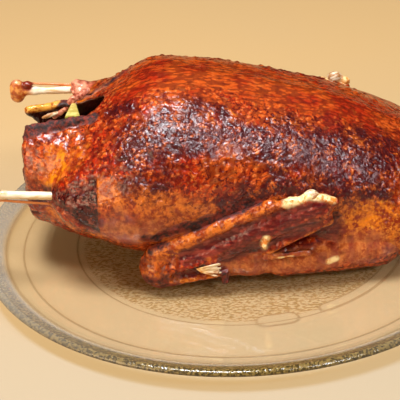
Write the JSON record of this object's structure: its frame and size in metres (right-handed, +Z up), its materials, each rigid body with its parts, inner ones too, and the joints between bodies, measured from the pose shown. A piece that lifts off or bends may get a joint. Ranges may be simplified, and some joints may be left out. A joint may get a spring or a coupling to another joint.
{
  "type": "roast duck on plate",
  "caption": "Whole roast duck lying breast up on a round clear glass plate, wings folded, bare leg bones showing, apple in the cavity.",
  "frame": {"origin": "centre of the plate's flat underside", "axes": "+Z up, +X from the duck's tail end to its neck end, +Y away from the side that the picture shows"},
  "size_m": [0.315, 0.315, 0.119],
  "materials": {
    "plate_glass": "clear pressed glass with a faint amber tint, stippled in the middle",
    "roast_skin": "glossy browned and wrinkled roast skin",
    "bone": "bare cooked bone with a browned knuckle",
    "gristle": "wet white gristle",
    "apple": "cooked apple flesh"
  },
  "bodies": {
    "root": {"plate": "plate_glass", "duck": "roast_skin", "leg_bone_near": "bone", "leg_bone_far": "bone", "wing_knob_near": "gristle", "wing_knob_far": "gristle", "apple_wedge": "apple"}
  },
  "joints": []
}
